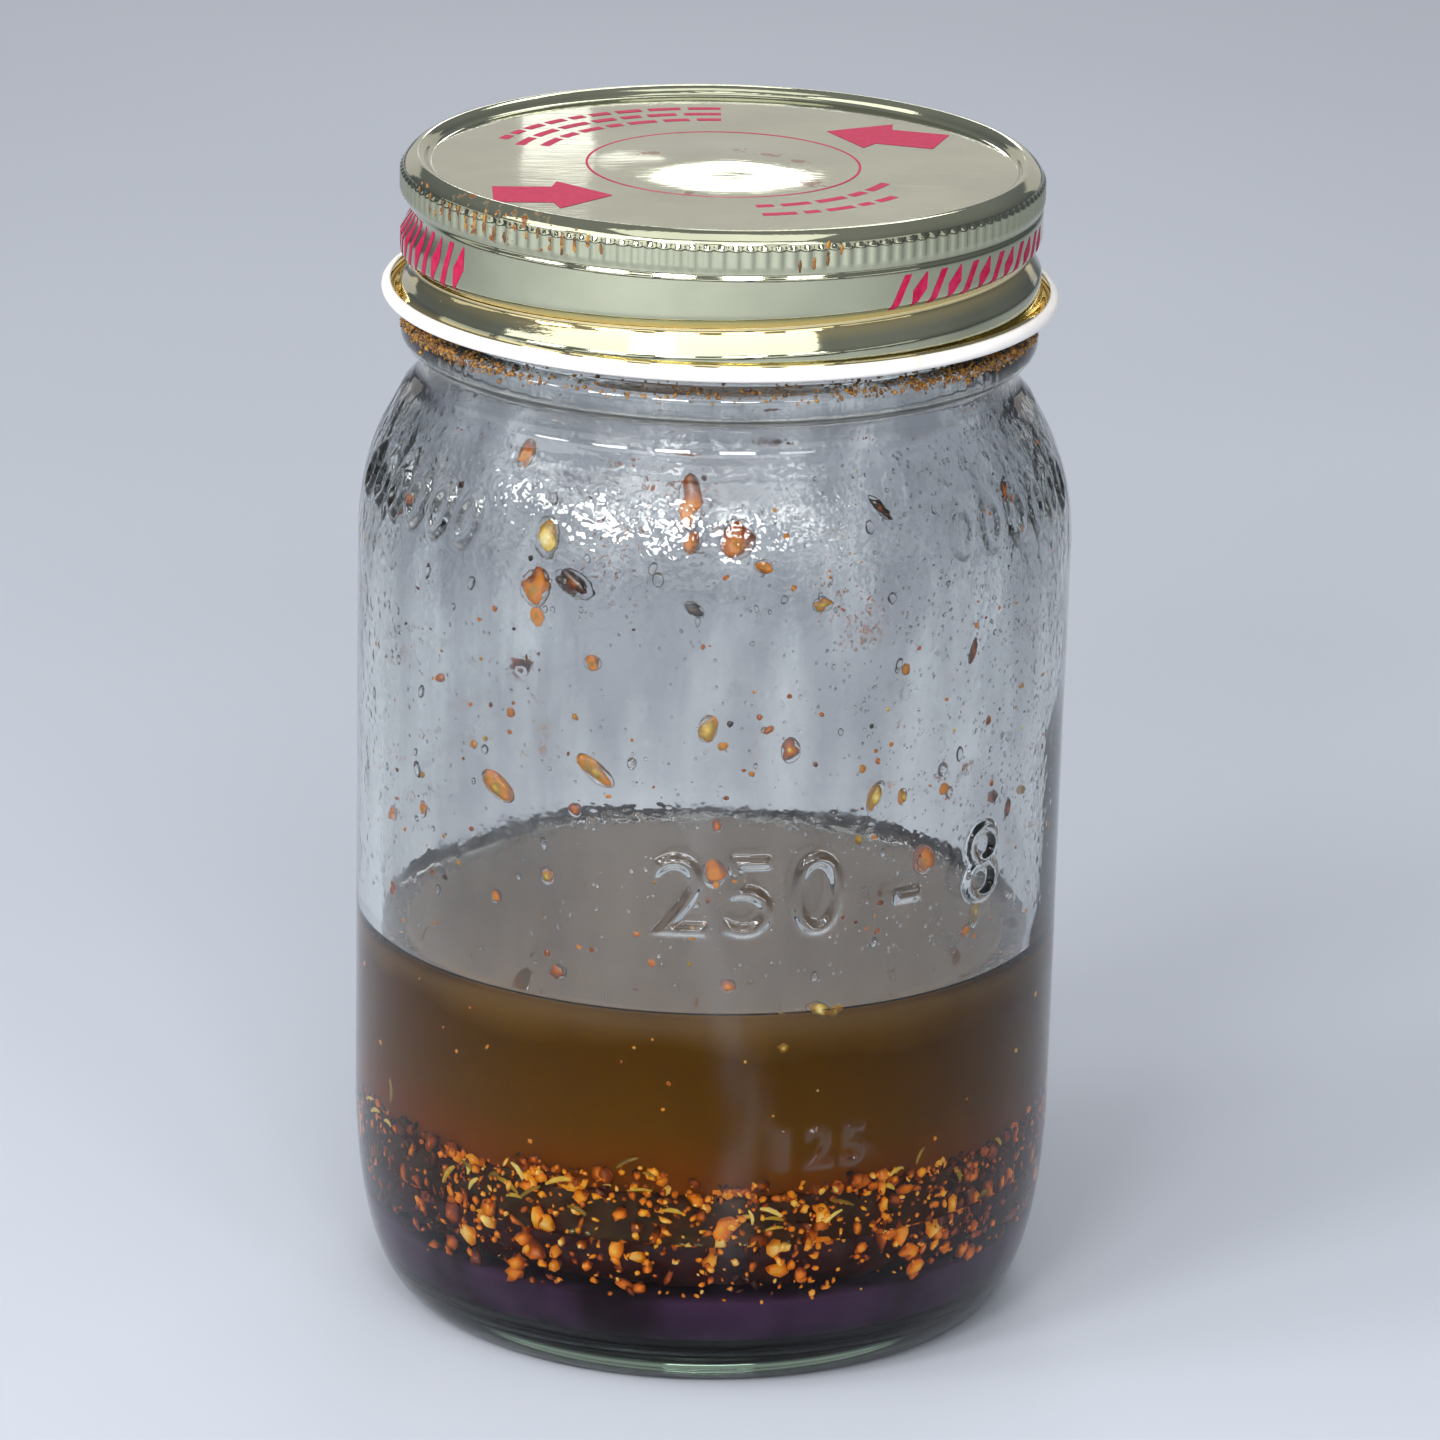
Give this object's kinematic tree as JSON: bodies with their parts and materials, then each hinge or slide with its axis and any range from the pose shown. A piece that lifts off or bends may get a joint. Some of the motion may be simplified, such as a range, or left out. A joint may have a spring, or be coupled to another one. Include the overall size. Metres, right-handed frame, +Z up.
{
  "type": "jar of vinaigrette",
  "caption": "Clear glass preserving jar with a one-piece metal screw lid, half full of layered oil and vinegar dressing with spices at the interface.",
  "frame": {"origin": "middle of the base, on the surface that the jar stands on", "axes": "+Z up along the jar's and the lid's common axis, -Y towards the jar's front"},
  "size_m": [0.0802, 0.0802, 0.1327],
  "materials": {
    "glass": "clear pressed soda-lime glass with a faint green edge",
    "tinplate": "pale grey-gold lacquered tinplate with dark red print",
    "gasket": "off-white moulded sealing compound",
    "oil": "dark olive-brown steeped oil",
    "vinegar": "dark purple-black vinegar",
    "seasoning": "steeped garlic and chilli granules, orange and yellow",
    "herbs": "straw-coloured dried herb needles",
    "flakes": "oil-wet orange and olive flakes"
  },
  "bodies": {
    "jar": {"herb_needle_01": "herbs", "herb_needle_02": "herbs", "herb_needle_03": "herbs", "herb_needle_04": "herbs", "herb_needle_05": "herbs", "herb_needle_06": "herbs", "herb_needle_07": "herbs", "herb_needle_08": "herbs", "herb_needle_09": "herbs", "herb_needle_10": "herbs", "herb_needle_11": "herbs", "herb_needle_12": "herbs", "jar_glass": "glass", "oil_layer": "oil", "seasoning_bed": "seasoning", "vinegar_layer": "vinegar", "wall_flake_01": "flakes", "wall_flake_02": "flakes", "wall_flake_03": "flakes", "wall_flake_04": "flakes", "wall_flake_05": "flakes", "wall_flake_06": "flakes", "wall_flake_07": "flakes", "wall_flake_08": "flakes", "wall_flake_09": "flakes", "wall_flake_10": "flakes", "wall_flake_11": "flakes", "wall_flake_12": "flakes", "wall_flake_13": "flakes", "wall_flake_14": "flakes", "wall_flake_15": "flakes", "wall_flake_16": "flakes", "wall_flake_17": "flakes", "wall_flake_18": "flakes", "wall_flake_19": "flakes", "wall_flake_20": "flakes", "wall_flake_21": "flakes", "wall_flake_22": "flakes"},
    "seal_ring": {"lid_gasket": "gasket"},
    "lid": {"lid_shell": "tinplate"}
  },
  "joints": [
    {"name": "lid_rise", "type": "slide", "parent": "jar", "child": "seal_ring", "axis": [0, 0, 1], "range_m": [0, 0.0192]},
    {"name": "lid_turn", "type": "hinge", "parent": "seal_ring", "child": "lid", "pos_m": [0, 0, 0.125], "axis": [0, 0, 1], "range_deg": [0, 1080]}
  ],
  "couplings": [
    {"joint": "lid_rise", "follows": "lid_turn", "m_per_rad": 0.0010106}
  ]
}
